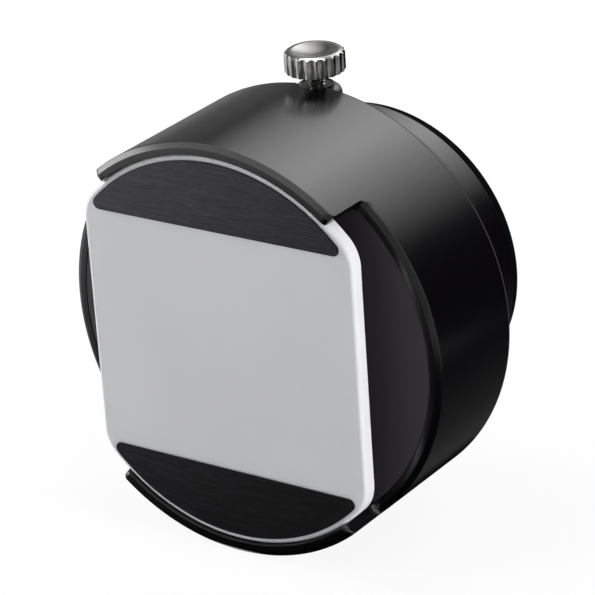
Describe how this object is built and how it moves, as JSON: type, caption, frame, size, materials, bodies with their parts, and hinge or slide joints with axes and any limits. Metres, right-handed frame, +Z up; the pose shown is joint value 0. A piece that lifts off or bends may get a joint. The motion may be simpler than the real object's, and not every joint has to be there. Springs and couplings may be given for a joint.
{
  "type": "slide duplicator",
  "caption": "Drum-shaped slide duplicator: opal diffuser over a side-loading film gate, on a tube with a lens thread that slides and turns, locked by a fluted thumbscrew",
  "frame": {"origin": "on the optical axis, in the plane of the tube's shoulder where the male filter thread begins", "axes": "+Y along the optical axis towards the lens, +Z up through the thumbscrew, +X to the right when the diffuser is looked at"},
  "size_m": [0.071, 0.0485, 0.0766],
  "materials": {
    "black_anodised": "satin black anodised",
    "flat_black_paint": "matte black anodised",
    "black_plastic": "matte",
    "opal_acrylic": "satin opal",
    "dark_brushed_plate": "dark brushed",
    "gloss_black_enamel": "gloss",
    "nickel_plate": "bright nickel plate",
    "steel_screws": "black oxide",
    "spring_steel": "satin",
    "ball_steel": "polished",
    "brass": "turned",
    "nylon": "natural white"
  },
  "bodies": {
    "lens_barrel": {"lens_tube": "black_anodised", "stop_ring": "black_anodised", "stop_ring_screws": "steel_screws", "light_baffle": "flat_black_paint", "baffle_clip": "spring_steel"},
    "brake": {"brake_ring": "nylon"},
    "head": {"outer_shell": "black_anodised", "clamp_collar": "black_anodised", "rear_cover": "black_anodised", "cover_screws": "steel_screws", "collar_screws": "steel_screws", "gate_plate": "flat_black_paint", "gate_screws": "steel_screws", "holder_rail_top": "black_plastic", "holder_rail_bottom": "black_plastic", "diffuser": "opal_acrylic", "diffuser_screws": "steel_screws", "label_plate_top": "dark_brushed_plate", "label_plate_bottom": "dark_brushed_plate", "detent_sleeve_top": "brass", "detent_sleeve_bottom": "brass", "detent_spring_top": "spring_steel", "detent_spring_bottom": "spring_steel", "clamp_bush": "brass", "cup_washer": "gloss_black_enamel"},
    "top_ball": {"detent_ball_top": "ball_steel"},
    "bottom_ball": {"detent_ball_bottom": "ball_steel"},
    "pad": {"clamp_pad": "nylon"},
    "thumbscrew": {"knob": "nickel_plate", "clamp_screw": "nickel_plate"}
  },
  "joints": [
    {"name": "head_extension", "type": "slide", "parent": "lens_barrel", "child": "brake", "axis": [0, -1, 0], "range_m": [-0.0055, 0.0075]},
    {"name": "head_rotation", "type": "hinge", "parent": "brake", "child": "head", "pos_m": [0, 0, 0], "axis": [0, 1, 0], "continuous": true},
    {"name": "screw_travel", "type": "slide", "parent": "head", "child": "pad", "axis": [0, 0, 1], "range_m": [0, 0.001]},
    {"name": "knob_turn", "type": "hinge", "parent": "pad", "child": "thumbscrew", "pos_m": [0, -0.0144, 0.0355], "axis": [0, 0, 1], "range_deg": [0, 720]},
    {"name": "top_click", "type": "slide", "parent": "head", "child": "top_ball", "axis": [0, 0, 1], "range_m": [0, 0.0005], "stiffness_N_per_m": 200, "springref_m": -0.001, "deforming": ["detent_spring_top"]},
    {"name": "bottom_click", "type": "slide", "parent": "head", "child": "bottom_ball", "axis": [0, 0, -1], "range_m": [0, 0.0005], "stiffness_N_per_m": 200, "springref_m": -0.001, "deforming": ["detent_spring_bottom"]}
  ],
  "couplings": [
    {"joint": "knob_turn", "follows": "screw_travel", "rad_per_m": 12566}
  ]
}
